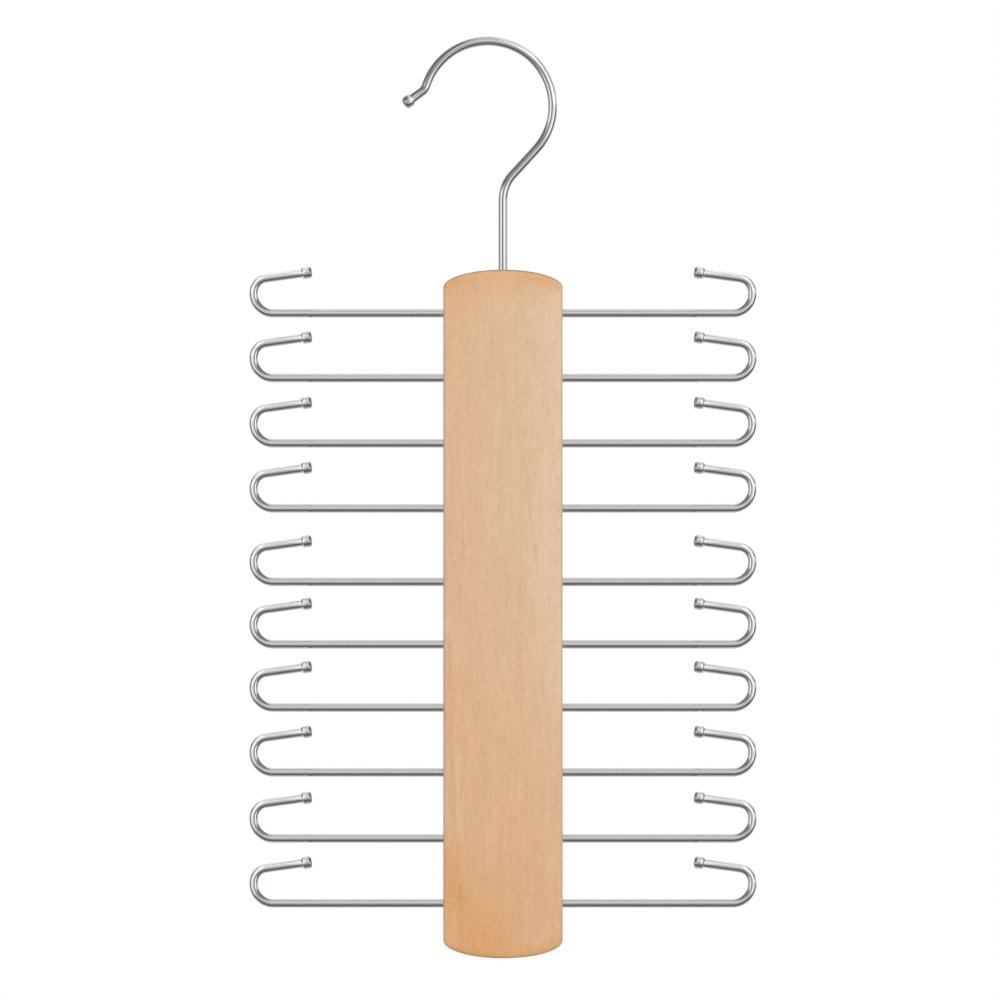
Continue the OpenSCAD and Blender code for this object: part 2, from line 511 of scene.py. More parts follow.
    def zones(self, graph: Graph, place: Socket) -> Socket:
        """Broad colour zones of the plank, before its grain.

        Args:
            graph: The finish's graph.
            place: Where the surface is, in metres.

        Returns:
            The colour.
        """
        wander = graph.stirred(0.0, place, self.drift)
        x, _, z = graph.parts(place)
        x = graph.math("ADD", x, wander)
        z = graph.added(z, wander, self.drift_along)
        colour: Feed = self.heart
        toned = ((self.rose_zone, self.rose), (self.cream_zone, self.cream), (self.sap_zone, self.sap))
        for zone, tone in toned:
            colour = graph.mix(graph.product(zone.cover(graph, x, z), zone.share), colour, tone)
        warm: Feed = 0.0
        for zone in self.honey_zones:
            warm = graph.added(warm, zone.cover(graph, x, z), zone.share)
        return graph.mix(graph.math("MINIMUM", warm, 1.0), colour, self.honey)

    def rim(self, graph: Graph, place: Socket, low_z: float, high_z: float) -> Socket:
        """Share of the honey tone in a band just inside the crowned rims.

        Args:
            graph: The finish's graph.
            place: Where the surface is, in metres.
            low_z: Height of the block's lower end.
            high_z: Height of its upper end.

        Returns:
            The share.
        """
        x, _, z = graph.parts(place)
        spread = graph.added(self.rim_least, graph.noise(place, self.rim_noise), self.rim_noise.strength)
        start = graph.math("SUBTRACT", self.crown_r, spread)
        found: list[Socket] = []
        for centre_z, upward in ((high_z - self.crown_r, 1.0), (low_z + self.crown_r, -1.0)):
            up = graph.product(graph.math("SUBTRACT", z, centre_z), upward)
            share = graph.step(graph.length(graph.joined(x, up, 0.0)), start, self.crown_r - self.rim_full)
            found.append(graph.product(share, graph.step(up, 0.0, self.rim_above)))
        outward = graph.step(graph.math("ABSOLUTE", x), *self.rim_outward, self.rim_middle)
        return graph.product(graph.math("MAXIMUM", *found), outward)

    def grain(self, graph: Graph, place: Socket) -> tuple[Socket, Socket, Socket]:
        """Growth rings, fibres and pores.

        Args:
            graph: The finish's graph.
            place: Where the surface is, in metres.

        Returns:
            A shade around 1, the share of pores, and the relief's height.
        """
        shift = graph.stirred(0.0, place, self.curl)
        curled = graph.vector("ADD", place, graph.joined(shift, graph.product(shift, self.curl_back), 0.0))
        fibres = STREAKS.place(graph, place=curled, across=1500.0, along=120.0, sharpness=0.35)
        shade: Feed = 1.0
        layers = ((curled, self.rings), (curled, self.bands), (place, self.mottle), (place, self.clouds))
        for spot, layer in layers:
            shade = graph.stirred(shade, spot, layer)
        shade = graph.swung(shade, fibres["Lines"], self.fibre_shade)
        clusters = graph.step(graph.noise(place, self.clusters), *self.cluster_edges, self.cluster_least)
        pores = graph.product(graph.step(graph.noise(curled, self.dashes), *self.dash_edges), clusters)
        height = graph.added(graph.product(fibres["Height"], self.fibre_height), pores, self.pore_depth)
        return shade, pores, height

    def tint(self, graph: Graph, place: Socket, colour: Socket) -> Socket:
        """Drifts the colour a little between rose and straw, as the real plank does."""
        turn = graph.stirred(0.0, place, self.hue)
        scale = graph.colour(graph.added(1.0, turn, self.hue_red), graph.math("ADD", turn, 1.0),
                             graph.stirred(1.0, place, self.straw))
        return graph.mix(1.0, colour, scale, "MULTIPLY")

    def knots(self, graph: Graph, place: Socket) -> Socket:
        """Share of the small dark pin knots."""
        x, y, z = graph.parts(place)
        spot = graph.joined(x, 0.0, graph.product(z, self.knot_stretch))
        found: Feed = 0.0
        for speck in self.specks:
            away = graph.length(graph.vector("SUBTRACT", spot, (speck.x, 0.0, speck.z * self.knot_stretch)))
            share = graph.step(away, speck.radius, speck.radius * self.knot_core, 0.0, speck.strength)
            found = graph.math("MAXIMUM", found, share)
        return graph.product(found, graph.step(y, 0.0, self.front_y))

    def lines(self, graph: Graph, place: Socket, colour: Socket) -> Socket:
        """Draws the single veins of the front face over the colour."""
        x, y, z = graph.parts(place)
        x = graph.stirred(x, place, self.waver)
        broken = graph.step(graph.noise(place, self.breaks), *self.break_edges, self.break_least)
        shown = graph.product(graph.step(y, 0.0, self.front_y), broken)
        for vein in self.veins:
            (top_x, top_z), (low_x, low_z) = vein.top, vein.bottom
            slope = (low_x - top_x) / (low_z - top_z)
            middle = graph.added(top_x - slope * top_z, z, slope)
            away = graph.math("ABSOLUTE", graph.math("SUBTRACT", x, middle))
            fade = (top_z - low_z) * self.vein_fade
            share = graph.product(
                graph.step(away, vein.width, 0.0, 0.0, vein.strength),
                graph.step(z, top_z, top_z - fade), graph.step(z, low_z, low_z + fade), shown,
            )
            colour = graph.mix(share, colour, vein.colour)
        return colour

    def end_grain_and_edge_shade(self, graph: Graph, normal: Socket, colour: Socket) -> Socket:
        """Tints the end grain, and paints shade on the eased edges, strongest where they face left or up.

        Args:
            graph: The finish's graph.
            normal: Where the surface faces.
            colour: The wood's colour so far.

        Returns:
            The colour.
        """
        side, front, up = graph.parts(normal)
        end_grain = graph.step(graph.math("ABSOLUTE", up), *self.end_edges)
        colour = graph.mix(end_grain, colour, graph.mix(1.0, colour, self.end_tint, "MULTIPLY"))
        # Painted shade on the eased edges, stronger where they face left or up
        facing = graph.math("ABSOLUTE", front)
        left = graph.product(side, -1.0)
        left_and_top_shade = graph.math("MAXIMUM", *[graph.step(value, *self.left_and_top_shade_edges) for value in (left, up)])
        eased = graph.product(*[graph.step(facing, *edges) for edges in self.edge_shade_edges])
        share = graph.product(eased, graph.added(self.edge_shade_share, left_and_top_shade, self.left_and_top_shade_share))
        return graph.mix(share, colour, self.edge_shade)

    def build(self, low_z: float, high_z: float) -> bpy.types.Material:
        """The finished material.

        Args:
            low_z: Height of the block's lower end.
            high_z: Height of its upper end.

        Returns:
            The material.
        """
        material, graph, shader = new_material(self.name)
        spot = graph.put("ShaderNodeTexCoord").outputs
        place = spot["Object"]
        shade, pores, height = self.grain(graph, place)
        colour = self.tint(graph, place, self.zones(graph, place))
        # A band of honey tone just inside the crowned rims
        rim_honey = graph.product(self.rim(graph, place, low_z, high_z), self.rim_share)
        colour = self.lines(graph, place, graph.mix(rim_honey, colour, self.honey))
        lit = graph.colour(*[graph.math("POWER", shade, power) for power in self.warmth])
        colour = graph.mix(1.0, colour, lit, "MULTIPLY")
        colour = graph.mix(graph.product(pores, self.pore_share), colour, self.pore)
        colour = graph.mix(self.knots(graph, place), colour, self.knot)
        dulled = HANDLING.place(graph, place=place, patches=45.0, level=0.5, spread=0.1)
        graph.fill(shader, {
            "Base Color": self.end_grain_and_edge_shade(graph, spot["Normal"], colour),
            "Roughness": graph.added(dulled["Roughness"], pores, self.pore_roughness),
            "Normal": graph.bump(height, self.relief, self.relief_strength),
            "Coat Weight": graph.added(self.coat, dulled["Patches"], self.coat_patches),
            "Coat Roughness": 0.35,
            "IOR": 1.42,
        })
        return material


@dataclass(frozen=True)
class SatinNickel:
    """Satin nickel plate on drawn wire: marks along the wire, rubbed bends, pressed heads, and a painted dark
    reflection on each head's rounded end.
    """

    name: str
    plate: Tone = from_srgb(231, 231, 230)
    shadow: Tone = from_srgb(210, 210, 210)
    # Painted dark reflection for the heads' rounded ends
    painted_end_reflection: Tone = from_srgb(158, 158, 158)
    roughness: float = 0.13
    spread: float = 0.06
    # What each feature adds to the roughness
    bend_rough: float = -0.045
    line_rough: float = 0.02
    head_rough: float = 0.03
    end_rough: float = 0.1
    end_edges: Span = (1.15, 1.6)
    # What each one adds to the share of the shadow tone
    shade: float = 0.16
    line_shade: float = 0.08
    patch_shade: float = 0.18
    # Share of the painted dark reflection on the heads' rounded ends
    end_share: float = 0.75
    # Rings that the heading tool turns into a head, and the relief of all the marks
    turned: Layer = Layer((240, 240, 5200), 1, strength=0.08)
    line_height: float = 0.25
    relief: float = 0.012 * MM
    relief_strength: float = 0.16

    def build(self) -> bpy.types.Material:
        """The finished material."""
        material, graph, shader = new_material(self.name)
        along = graph.attribute("wire_place", "Vector")
        place = graph.put("ShaderNodeTexCoord").outputs["Object"]
        pressing = graph.attribute("head_share")
        head = graph.math("MINIMUM", pressing, 1.0)
        end = graph.step(pressing, *self.end_edges)
        streaks = STREAKS.place(graph, place=along, across=1300.0, along=30.0, sharpness=0.25)
        dulled = HANDLING.place(graph, place=place, patches=210.0, level=self.roughness, spread=self.spread)
        pressed = graph.product(head, graph.stirred(0.0, along, self.turned))
        rough = graph.added(dulled["Roughness"], graph.attribute("bend_share"), self.bend_rough)
        rough = graph.swung(rough, streaks["Lines"], self.line_rough)
        rough = graph.added(graph.added(rough, head, self.head_rough), end, self.end_rough)
        share = graph.swung(self.shade, streaks["Lines"], self.line_shade)
        share = graph.added(share, dulled["Patches"], self.patch_shade)
        share = graph.math("ADD", share, pressed, clamp=True)
        colour = graph.mix(share, self.plate, self.shadow)
        # Painted dark reflection on the heads' rounded ends
        colour = graph.mix(graph.product(end, self.end_share), colour, self.painted_end_reflection)
        height = graph.added(pressed, streaks["Height"], self.line_height)
        normal = graph.bump(height, self.relief, self.relief_strength)
        graph.fill(shader, {"Base Color": colour, "Roughness": rough, "Normal": normal, "Metallic": 1.0})
        return material


@dataclass(frozen=True)
class TurnedZinc:
    """Plain zinc plate on a turned sleeve, with the fine rings that the tool leaves."""

    name: str = "turned_zinc"
    bright: Tone = from_srgb(196, 199, 203)
    dull: Tone = from_srgb(158, 160, 163)
    mark_share: float = 0.4
    relief: float = 0.02 * MM
    relief_strength: float = 0.6

    def build(self) -> bpy.types.Material:
        """The finished material."""
        material, graph, shader = new_material(self.name)
        place = graph.put("ShaderNodeTexCoord").outputs["Object"]
        x, y, z = graph.parts(place)
        from_axis = graph.length(graph.joined(x, y, 0.0))
        ring_place = graph.joined(0.0, 0.0, graph.math("ADD", from_axis, z))
        rings = STREAKS.place(graph, place=ring_place, across=1.0, along=5200.0, sharpness=0.4)
        dulled = HANDLING.place(graph, place=place, patches=320.0, level=0.34, spread=0.14)
        share = graph.product(graph.math("ADD", rings["Lines"], dulled["Patches"]), self.mark_share)
        graph.fill(shader, {
            "Base Color": graph.mix(share, self.bright, self.dull),
            "Roughness": dulled["Roughness"],
            "Normal": graph.bump(rings["Height"], self.relief, self.relief_strength),
            "Metallic": 1.0,
        })
        return material


# Meshes


def new_object(name: str, data: bpy.types.ID) -> bpy.types.Object:
    """A mesh, a lamp or a camera, as an object of the scene."""
    piece = bpy.data.objects.new(name, data)
    bpy.context.scene.collection.objects.link(piece)
    return piece


class Shell:
    """The points and faces of a mesh in the making."""

    def __init__(self) -> None:
        """Starts with nothing."""
        self.points: list[Sequence[float]] = []
        self.faces: list[Sequence[int]] = []

    def add(self, points: Iterable[Sequence[float]]) -> list[int]:
        """Adds points and gives their numbers."""
        first = len(self.points)
        self.points.extend(points)
        return list(range(first, len(self.points)))

    def band(self, near: list[int], far: list[int]) -> None:
        """Quads between two closed rings of as many points."""
        for i in range(len(near)):
            j = (i + 1) % len(near)
            self.faces.append((near[i], near[j], far[j], far[i]))

    def fan(self, ring: list[int], tip: int) -> None:
        """Triangles from a closed ring to a tip."""
        for i in range(len(ring)):
            self.faces.append((ring[i], ring[(i + 1) % len(ring)], tip))

    def build(self, name: str, sharp_deg: float = 40.0) -> bpy.types.Object:
        """A smooth-shaded object with its true corners kept sharp.

        Args:
            name: The piece's name.
            sharp_deg: Edges that turn by more than this stay sharp.

        Returns:
            The object, linked to the scene.
        """
        mesh = bpy.data.meshes.new(name)
        mesh.from_pydata([tuple(p) for p in self.points], [], self.faces)
        mesh.validate()
        mark_edges(mesh, sharp_deg)
        return new_object(name, mesh)


def mark_edges(mesh: bpy.types.Mesh, sharp_deg: float) -> None:
    """Shades a mesh smooth, with consistent faces and sharp corners.

    Args:
        mesh: The mesh.
        sharp_deg: Edges that turn by more than this stay sharp.
    """
    work = bmesh.new()
    work.from_mesh(mesh)
    bmesh.ops.recalc_face_normals(work, faces=work.faces)
    for face in work.faces:
        face.smooth = True
    for edge in work.edges:
        edge.smooth = edge.calc_face_angle(0.0) < math.radians(sharp_deg)
    work.to_mesh(mesh)
    work.free()


@dataclass(frozen=True)
class Bend:
    """A straight run of wire and the bend after it, by its centreline."""

    straight: float
    radius: float
    turn_deg: float


@dataclass(frozen=True)
class Head:
    """Head that is upset on a wire's end: a taper, a barrel and a rounded, slightly domed end."""

    diameter: float
    length: float
    taper: float
    rounding: float
    dome: float = 0.12 * MM
    steps: int = 9
    rounding_reach: float = 0.94
    dome_rings: tuple[float, ...] = (0.75, 0.45, 0.2)

    def profile(self, wire_r: float) -> list[Span]:
        """Outline of the head.

        Args:
            wire_r: Radius of the wire that it stands on.

        Returns:
            Distance past the wire's end and radius, point by point.
        """
        head_r = self.diameter / 2
        points = []
        for i in range(1, self.steps + 1):
            share = i / self.steps
            points.append((self.taper * share, wire_r + (head_r - wire_r) * (3 * share**2 - 2 * share**3)))
        shoulder = self.length - self.rounding
        points.append(((self.taper + shoulder) / 2, head_r))
        for i in range(self.steps + 1):
            turn = math.pi / 2 * i / self.steps
            points.append((shoulder + self.rounding_reach * self.rounding * math.sin(turn),
                           head_r - self.rounding * (1 - math.cos(turn))))
        face = shoulder + self.rounding_reach * self.rounding
        for share in self.dome_rings:
            points.append((face + self.dome * (1 - share**2), (head_r - self.rounding) * share))
        return points

    def share(self, past: float) -> float:
        """How far into the head a place is: 1 on the barrel, and up to 2 on the rounded end."""
        end = (past - self.length + self.rounding) / self.rounding
        return min(1.0, past / self.taper) + min(1.0, max(0.0, end))


@dataclass(frozen=True)
class Station:
    """One ring of a bent wire: its place and heading in the wire's plane, and its section."""

    x: float
    z: float
    heading: float
    distance: float
    radius: float
    bend_share: float = 0.0
    head_share: float = 0.0

    def ahead(self, past: float, radius: float, head_share: float = 0.0) -> "Station":
        """The ring straight ahead of this one.

        Args:
            past: How far ahead.
            radius: The wire's radius there.
            head_share: How far into a head it is.

        Returns:
            The ring.
        """
        return Station(self.x + past * math.sin(self.heading), self.z + past * math.cos(self.heading),
                       self.heading, self.distance + past, radius, head_share=head_share)

    def turned(self, radius: float, turn: float, hand: float, bend_share: float) -> "Station":
        """The ring after a bend that starts at this one.

        Args:
            radius: The bend's radius.
            turn: How far the wire turns.
            hand: 1 where it turns towards x, and -1 where it turns away.
            bend_share: How far the bending has flattened the wire there.

        Returns:
            The ring.
        """
        heading = self.heading + hand * turn
        return Station(self.x + hand * radius * (math.cos(self.heading) - math.cos(heading)),
                       self.z + hand * radius * (math.sin(heading) - math.sin(self.heading)),
                       heading, self.distance + radius * turn, self.radius, bend_share)


@dataclass
class BentWire:
    """A round wire that is bent in one plane. It starts at the origin and runs up."""

    wire_d: float
    bends: tuple[Bend, ...]
    last_straight: float
    head: Head
    bevel: float = 0.4 * MM
    end_head: Head | None = None
    sides: int = 28
    flattening: float = 0.015
    bulging: float = 0.2
    bend_easing: float = 0.25
    bend_step_deg: float = 3.0
    fewest_bend_steps: int = 4
    straight_step: float = 6 * MM

    def stations(self) -> list[Station]:
        """Rings along the wire, from its plain end to its head."""
        radius = self.wire_d / 2
        here = Station(0, 0, 0, 0, radius)
        if self.end_head is None:
            rings = [here.ahead(0, radius - self.bevel), here.ahead(self.bevel, radius)]
        else:
            outline = reversed(self.end_head.profile(radius))
            rings = [here.ahead(-past, ring_r, 1.0) for past, ring_r in outline]
        for bend in (*self.bends, Bend(self.last_straight, 0.0, 0.0)):
            pieces = max(1, round(bend.straight / self.straight_step))
            runs = [here.ahead(bend.straight * i / pieces, radius) for i in range(1, pieces + 1)]
            rings += [ring for ring in runs if ring.distance > self.bevel]
            here = runs[-1]
            if bend.turn_deg:
                turn = math.radians(abs(bend.turn_deg))
                hand = math.copysign(1.0, bend.turn_deg)
                count = max(self.fewest_bend_steps, round(abs(bend.turn_deg) / self.bend_step_deg))
                for i in range(1, count + 1):
                    bend_share = min(1.0, min(i, count - i) / (self.bend_easing * count))
                    rings.append(here.turned(bend.radius, turn * i / count, hand, bend_share))
                here = rings[-1]
        outline = self.head.profile(radius)
        return rings + [here.ahead(past, ring_r, self.head.share(past)) for past, ring_r in outline]

    def build(self, name: str, placing: Matrix) -> bpy.types.Object:
        """One unbroken mesh of the whole wire.

        Args:
            name: The piece's name.
            placing: From the wire's own frame to the row frame.

        Returns:
            The object.
        """
        shell = Shell()
        rings = self.stations()
        loops: list[list[int]] = []
        places: list[float] = []
        for ring in rings:
            inward = ring.radius * (1 - self.flattening * ring.bend_share)
            outward = ring.radius * (1 - self.bulging * self.flattening * ring.bend_share)
            points = []
            for i in range(self.sides):
                angle = 2 * math.pi * i / self.sides
                u, v = inward * math.cos(angle), outward * math.sin(angle)
                points.append(placing @ Vector((ring.x + u * math.cos(ring.heading), v,
                                                ring.z - u * math.sin(ring.heading))))
                places += (u, v, ring.distance)
            loops.append(shell.add(points))
        for near, far in zip(loops, loops[1:]):
            shell.band(near, far)
        for loop, ring in ((loops[0], rings[0]), (loops[-1], rings[-1])):
            shell.fan(loop, *shell.add([placing @ Vector((ring.x, 0.0, ring.z))]))
            places += (0.0, 0.0, ring.distance)
        bends = [ring.bend_share for ring in rings for _ in range(self.sides)] + [0.0, 0.0]
        heads = [ring.head_share for ring in rings for _ in range(self.sides)]
        heads += [rings[0].head_share, rings[-1].head_share]
        piece = shell.build(name)
        for label, kind, key, values in (
            ("wire_place", "FLOAT_VECTOR", "vector", places),
            ("bend_share", "FLOAT", "value", bends),
            ("head_share", "FLOAT", "value", heads),
        ):
            piece.data.attributes.new(label, kind, "POINT").data.foreach_set(key, values)
        return piece


# Sub-assemblies


@dataclass
class WoodBlock:
    """The block: crowned at both ends, its front and back edges eased, drilled for its wires."""

    crown_depth: float = 7.1 * MM
    edge_r: float = 1.8 * MM
    support: float = 0.3 * MM
    edge_steps: int = 8
    crown_steps: int = 54
    side_steps: int = 28
    columns: int = 10
    hole_sides: int = 32
    drill_point_deg: float = 118.0
    drill_stand_off: float = 2 * MM
    sleeve_hole_r: float = 3.5 * MM
    sleeve_hole_depth: float = 20.3 * MM
    wire_hole_r: float = 1.74 * MM
    wire_hole_depth: float = 16.5 * MM
    rim: float = 0.16 * MM
    sleeve_rim: float = 0.3 * MM
    blank_sharp_deg: float = 60.0
    drilled_sharp_deg: float = 32.0
    low: Vector = field(default_factory=lambda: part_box("wood_block")[0])
    high: Vector = field(default_factory=lambda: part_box("wood_block")[1])

    def half_outline(self) -> list[tuple[Vector, Vector]]:
        """Right half of the outline, from the top's apex down to the bottom's. The crown is half an ellipse.

        Returns:
            Each point in the front view and the direction that faces out there.
        """
        middle = (self.low.z + self.high.z) / 2
        half: list[tuple[Vector, Vector]] = []
        for i in range(self.crown_steps + 1):
            turn = math.pi / 2 * i / self.crown_steps
            across, up = math.sin(turn), math.cos(turn)
            place = Vector((self.high.x * across, self.high.z - self.crown_depth * (1 - up)))
            half.append((place, Vector((self.crown_depth * across, self.high.x * up)).normalized()))
        start = half[-1][0]
        for i in range(1, self.side_steps + 1):
            z = start.y + (middle - start.y) * i / self.side_steps
            half.append((Vector((start.x, z)), Vector((1, 0))))
        below = [(Vector((p.x, 2 * middle - p.y)), Vector((n.x, -n.y))) for p, n in reversed(half[:-1])]
        return half + below

    def rings(self) -> list[Span]:
        """Inset and depth of each ring round the block, from the front face to the back face."""
        reach = (self.high.y - self.low.y) / 2
        front = [(self.edge_r + self.support, -reach)]
        for i in range(self.edge_steps, -1, -1):
            turn = math.pi / 2 * i / self.edge_steps
            front.append((self.edge_r * (1 - math.cos(turn)), -reach + self.edge_r * (1 - math.sin(turn))))
        front.append((0.0, -reach + self.edge_r + self.support))
        return front + [(inset, -y) for inset, y in reversed(front)]

    def face(self, shell: Shell, loop: list[int]) -> None:
        """Fills the front or back face with even rows of quads, and with triangles at its two apexes.

        Args:
            shell: The mesh in the making.
            loop: Corner numbers round the face, down the right side from the top's apex and up the left.
        """
        low = len(loop) // 2
        rows: list[list[int]] = []
        for i in range(1, low):
            right, left = loop[i], loop[-i]
            a, b = Vector(shell.points[left]), Vector(shell.points[right])
            between = shell.add(a + (b - a) * (c / self.columns) for c in range(1, self.columns))
            rows.append([left, *between, right])
        for upper, lower in zip(rows, rows[1:]):
            for c in range(self.columns):
                shell.faces.append((upper[c], upper[c + 1], lower[c + 1], lower[c]))
        for apex, row in ((loop[0], rows[0]), (loop[low], rows[-1])):
            for c in range(self.columns):
                shell.faces.append((apex, row[c], row[c + 1]))

    def blank(self) -> bpy.types.Object:
        """The block before it is drilled, in even quads."""
        half = self.half_outline()
        shell = Shell()
        loops: list[list[int]] = []
        for inset, y in self.rings():
            inner = [p - n * inset for p, n in half]
            loops.append(shell.add([(p.x, y, p.y) for p in inner] + [(-p.x, y, p.y) for p in inner[-2:0:-1]]))
        for near, far in zip(loops, loops[1:]):
            shell.band(near, far)
        for loop in (loops[0], loops[-1]):
            self.face(shell, loop)
        return shell.build("crowned_block", self.blank_sharp_deg)

    def drill(self, shell: Shell, placing: Matrix, radius: float, depth: float, rim: float) -> None:
        """Adds one drill's shape to the cutter.

        Args:
            shell: The cutter in the making.
            placing: From the drill's frame, where it goes down along -z, to the row frame.
            radius: The hole's radius.
            depth: Its depth to the start of the drill's point.
            rim: Width of the eased rim.
        """
        mouth = radius + rim
        profile = ((self.drill_stand_off, mouth), (0.0, mouth), (-rim, radius), (-depth, radius))
        angles = [2 * math.pi * (i + 0.5) / self.hole_sides for i in range(self.hole_sides)]
        loops = []
        for z, ring_r in profile:
            ring = [Vector((ring_r * math.cos(a), ring_r * math.sin(a), z)) for a in angles]
            loops.append(shell.add(placing @ p for p in ring))
        tip_z = -depth - radius / math.tan(math.radians(self.drill_point_deg / 2))
        tips = shell.add([placing @ Vector((0, 0, tip_z))])
        for near, far in zip(loops, loops[1:]):
            shell.band(near, far)
        shell.fan(loops[-1], *tips)
        shell.faces.append(tuple(loops[0]))

    def build(self, bar_heights: dict[Side, list[float]]) -> bpy.types.Object:
        """The drilled block.

        Args:
            bar_heights: Height of each tie hook's bar, on each side.

        Returns:
            The object.
        """
        block = self.blank()
        drills = Shell()
        self.drill(drills, Matrix.Translation((0, 0, self.high.z)),
                   self.sleeve_hole_r, self.sleeve_hole_depth, self.sleeve_rim)
        for side, heights in bar_heights.items():
            turn = Matrix.Rotation(side.hand * math.pi / 2, 4, "Y")
            for z in heights:
                placing = Matrix.Translation((side.hand * self.high.x, 0, z)) @ turn
                self.drill(drills, placing, self.wire_hole_r, self.wire_hole_depth, self.rim)
        cutter = drills.build("drills")
        cut = block.modifiers.new("drilled", "BOOLEAN")
        cut.operation = "DIFFERENCE"
        cut.solver = "EXACT"
        cut.object = cutter
        bpy.context.view_layer.update()
        drilled = bpy.data.meshes.new_from_object(block.evaluated_get(bpy.context.evaluated_depsgraph_get()))
        block.modifiers.clear()
        spent = (block.data, cutter.data)
        block.data = drilled
        bpy.data.objects.remove(cutter)
        for mesh in spent:
            bpy.data.meshes.remove(mesh)
        drilled.name = "crowned_block"
        mark_edges(drilled, self.drilled_sharp_deg)
        return block

    def dress(self, block: bpy.types.Object, finish: bpy.types.Material) -> None:
        """Gives the block its finish and its place in the model."""
        block.data.materials.clear()
        block.data.materials.append(finish)
        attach(block, Body.RACK.value)
        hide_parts("wood_block")


@dataclass
class TieHook:
    """One J-shaped tie hook: a long bar, two bends, a rising lip and a head."""

    side: Side
    row: int
    wire_d: float = 3.4 * MM
    reach: float = 100 * MM
    block_w: float = 47 * MM
    pin_depth: float = 16 * MM
    bend_swell: float = 0.01 * MM
    lower_bend_r: float = 7.7 * MM
    between: float = 0.4 * MM
    upper_bend_r: float = 5.75 * MM
    lip_rise_deg: float = 7.8
    lip_len: float = 13.7 * MM
    head: Head = Head(4.8 * MM, 4.5 * MM, 1.4 * MM, 1.3 * MM)

    @property
    def node(self) -> str:
        """The model's name for this hook."""
        return f"tie_hook_{self.side.value}_{self.row:02d}"

    @property
    def bar_z(self) -> float:
        """Height of the bar's centreline."""
        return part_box(self.node)[0].z + self.wire_d / 2 + self.bend_swell

    def build(self) -> bpy.types.Object:
        """The bent wire, in its place."""
        bar = self.reach - self.block_w / 2 + self.pin_depth - self.wire_d / 2 - self.lower_bend_r
        lower = Bend(bar, self.lower_bend_r, 90.0)
        upper = Bend(self.between, self.upper_bend_r, 90.0 - self.lip_rise_deg)
        wire = BentWire(self.wire_d, (lower, upper), self.lip_len, self.head)
        placing = (
            Matrix.Diagonal((-self.side.hand, 1, 1, 1))
            @ Matrix.Translation((self.pin_depth - self.block_w / 2, 0, self.bar_z))
            @ Matrix.Rotation(-math.pi / 2, 4, "Y")
        )
        return wire.build(f"tie_wire_{self.side.value}_{self.row:02d}", placing)

    def dress(self, wire: bpy.types.Object, finish: bpy.types.Material) -> None:
        """Gives the wire its finish and its place in the model."""
        wire.data.materials.append(finish)
        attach(wire, Body.RACK.value)
        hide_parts(self.node)


@dataclass
class SwivelHook:
    """The hook: a shank with a stop head, a leaning neck, an open ring and a headed tip."""

    wire_d: float = 3.6 * MM
    shank_rise: float = 27.6 * MM
    shank_bend_r: float = 14.2 * MM
    neck_lean_deg: float = 42.5
    ring_r: float = 25.6 * MM
    ring_offset: float = 6 * MM
    ring_end_deg: float = 161.0
    tip_bend_r: float = 5 * MM
    tip_turn_deg: float = 35.0
    tip_len: float = 4.2 * MM
    between: float = 0.4 * MM
    stop_depth: float = 16.7 * MM
    tip_head: Head = Head(5.0 * MM, 4.3 * MM, 1.5 * MM, 1.7 * MM)
    stop_head: Head = Head(5.8 * MM, 2.6 * MM, 0.5 * MM, 0.6 * MM, dome=0.0)

    def build(self, block_top: float) -> bpy.types.Object:
        """The bent wire, in its place.

        Args:
            block_top: Height of the block's top.

        Returns:
            The object.
        """
        lean = math.radians(self.neck_lean_deg)
        neck = (self.ring_r * math.cos(lean) - self.ring_offset
                - self.shank_bend_r * (1 - math.cos(lean))) / math.sin(lean)
        bends = (
            Bend(self.stop_depth + self.shank_rise, self.shank_bend_r, self.neck_lean_deg),
            Bend(neck, self.ring_r, -(self.neck_lean_deg + self.ring_end_deg)),
            Bend(self.between, self.tip_bend_r, self.tip_turn_deg),
        )
        wire = BentWire(self.wire_d, bends, self.tip_len, self.tip_head, end_head=self.stop_head,
                        sides=36, flattening=0.005, bend_step_deg=2.5)
        return wire.build("hook_wire", Matrix.Translation((0, 0, block_top - self.stop_depth)))

    def dress(self, wire: bpy.types.Object, finish: bpy.types.Material) -> None:
        """Gives the wire its finish and its place in the model."""
        wire.data.materials.append(finish)
        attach(wire, Body.HOOK.value)
        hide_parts("swivel_hook")


@dataclass
class HookSleeve:
    """The sleeve that the shank turns in, whose rim shows in the block's top."""

    node: str = "hook_sleeve"

    def dress(self, finish: bpy.types.Material) -> bpy.types.Object:
        """Gives the model's own sleeve its finish.

        Args:
            finish: The sleeve's finish.

        Returns:
            The object.
        """
        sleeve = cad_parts[self.node]
        sleeve.data.materials.clear()
        sleeve.data.materials.append(finish)
        return sleeve


# Studio


